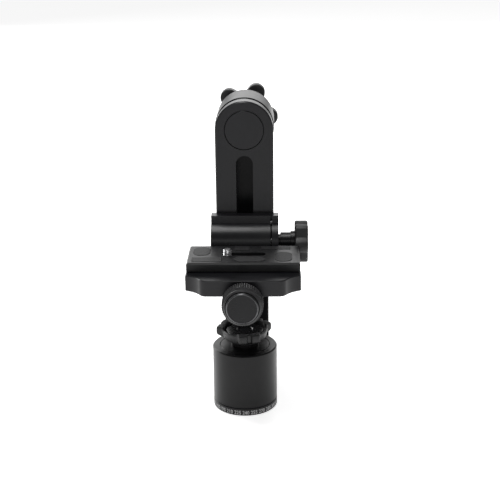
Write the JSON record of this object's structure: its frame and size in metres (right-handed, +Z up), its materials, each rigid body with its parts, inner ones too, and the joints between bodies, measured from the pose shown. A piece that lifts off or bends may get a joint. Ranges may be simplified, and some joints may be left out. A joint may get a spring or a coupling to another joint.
{
  "type": "alt azimuth mount",
  "caption": "Side-arm gimbal head: panning base with numbered ring, L-arm, swing arm on a level tilt axis, and a height-adjustable quick-release clamp with camera plate.",
  "frame": {"origin": "centre of the base's underside, at the mouth of the tripod thread", "axes": "+Z up along the pan axis; +Y from the quick-release knob towards the tilt lock knob, along the tilt axis; +X along the camera plate towards the side knob"},
  "size_m": [0.0889, 0.166, 0.2258],
  "materials": {
    "anodised_black": "black anodised, fine satin grain",
    "housing_black": "black anodised, turned and satin",
    "ring_black": "black anodised with white numerals",
    "plate_black": "dark anodised, brushed lengthwise",
    "knob_rubber": "moulded rubber with a fine grain",
    "knob_black": "black anodised, bright bevels",
    "knurled_black": "ribbed rubber",
    "pad_rubber": "ribbed rubber pad",
    "steel": "turned steel",
    "screw_steel": "bright plated screw",
    "bronze": "sintered bronze",
    "washer_plastic": "low-friction plastic washer"
  },
  "bodies": {
    "tripod_base": {"scale_ring": "ring_black", "tripod_bush": "steel", "pan_spindle": "steel", "spindle_screws": "steel", "base_washer": "washer_plastic"},
    "pan_part": {"pan_housing": "housing_black", "housing_cap": "housing_black", "pan_bush_lower": "bronze", "pan_bush_upper": "bronze", "neck_washer": "washer_plastic", "l_arm": "anodised_black", "arm_base_screws": "steel", "tilt_bush_front": "bronze", "tilt_bush_rear": "bronze", "head_washer": "washer_plastic", "thrust_collar": "anodised_black", "disc_springs": "steel", "rear_washer": "steel"},
    "pan_lock_knob_body": {"pan_lock_knob": "knob_black", "pan_knob_insert": "bronze", "pan_knob_disc": "knob_black", "pan_knob_grips": "knob_rubber"},
    "tilt_part": {"swing_arm": "anodised_black", "pivot_shaft": "steel", "pivot_cap": "anodised_black", "shaft_flange_screws": "steel"},
    "tilt_lock_knob_body": {"tilt_lock_knob": "knob_rubber", "tilt_knob_insert": "bronze", "tilt_knob_cap": "knob_black"},
    "slider": {"slider_bracket": "anodised_black", "clamp_body": "anodised_black", "clamp_bolts": "steel", "travel_stop_pin": "steel", "jaw_guide_pins": "steel", "qr_guide_rods": "steel", "qr_jaw_spring": "steel"},
    "slider_jaw_body": {"slider_jaw": "anodised_black"},
    "slider_knob_body": {"slider_knob": "knob_rubber", "slider_knob_sleeve": "knob_black", "slider_clamp_screw": "steel"},
    "qr_jaw_body": {"qr_jaw": "anodised_black"},
    "qr_knob_body": {"qr_knob": "knurled_black", "qr_knob_disc": "knob_black", "qr_clamp_screw": "steel"},
    "plate_body": {"camera_plate": "plate_black", "plate_pads": "pad_rubber"},
    "screw_carrier": {"screw_retainer": "steel"},
    "camera_screw_body": {"camera_screw": "screw_steel"}
  },
  "joints": [
    {"name": "pan_turn", "type": "hinge", "parent": "tripod_base", "child": "pan_part", "pos_m": [0, 0, 0.03], "axis": [0, 0, 1], "continuous": true},
    {"name": "pan_lock_turn", "type": "hinge", "parent": "pan_part", "child": "pan_lock_knob_body", "pos_m": [0, 0, 0.056], "axis": [0, 0, 1], "range_deg": [0, 270]},
    {"name": "tilt_turn", "type": "hinge", "parent": "pan_part", "child": "tilt_part", "pos_m": [0, 0.06, 0.2021], "axis": [0, 1, 0], "continuous": true},
    {"name": "tilt_lock_turn", "type": "hinge", "parent": "tilt_part", "child": "tilt_lock_knob_body", "pos_m": [0, 0.105, 0.2021], "axis": [0, 1, 0], "range_deg": [0, 270]},
    {"name": "height_slide", "type": "slide", "parent": "tilt_part", "child": "slider", "axis": [0, 0, 1], "range_m": [-0.004, 0.04]},
    {"name": "slider_jaw_slide", "type": "slide", "parent": "slider", "child": "slider_jaw_body", "axis": [1, 0, 0], "range_m": [0, 0.00075]},
    {"name": "slider_knob_turn", "type": "hinge", "parent": "slider_jaw_body", "child": "slider_knob_body", "pos_m": [0.035, 0.0368, 0.1169], "axis": [1, 0, 0], "range_deg": [0, 270]},
    {"name": "qr_jaw_slide", "type": "slide", "parent": "slider", "child": "qr_jaw_body", "axis": [0, -1, 0], "range_m": [0, 0.004], "deforming": ["qr_jaw_spring"]},
    {"name": "qr_knob_turn", "type": "hinge", "parent": "qr_jaw_body", "child": "qr_knob_body", "pos_m": [0, -0.045, 0.0971], "axis": [0, -1, 0], "range_deg": [0, 1440]},
    {"name": "plate_slide", "type": "slide", "parent": "slider", "child": "plate_body", "axis": [1, 0, 0], "range_m": [-0.03, 0.03]},
    {"name": "camera_screw_slide", "type": "slide", "parent": "plate_body", "child": "screw_carrier", "axis": [1, 0, 0], "range_m": [0, 0.0245]},
    {"name": "camera_screw_turn", "type": "hinge", "parent": "screw_carrier", "child": "camera_screw_body", "pos_m": [-0.012, 0, 0.11], "axis": [0, 0, 1], "continuous": true}
  ],
  "couplings": [
    {"joint": "slider_knob_turn", "follows": "slider_jaw_slide", "rad_per_m": 6283},
    {"joint": "qr_knob_turn", "follows": "qr_jaw_slide", "rad_per_m": 6283}
  ]
}
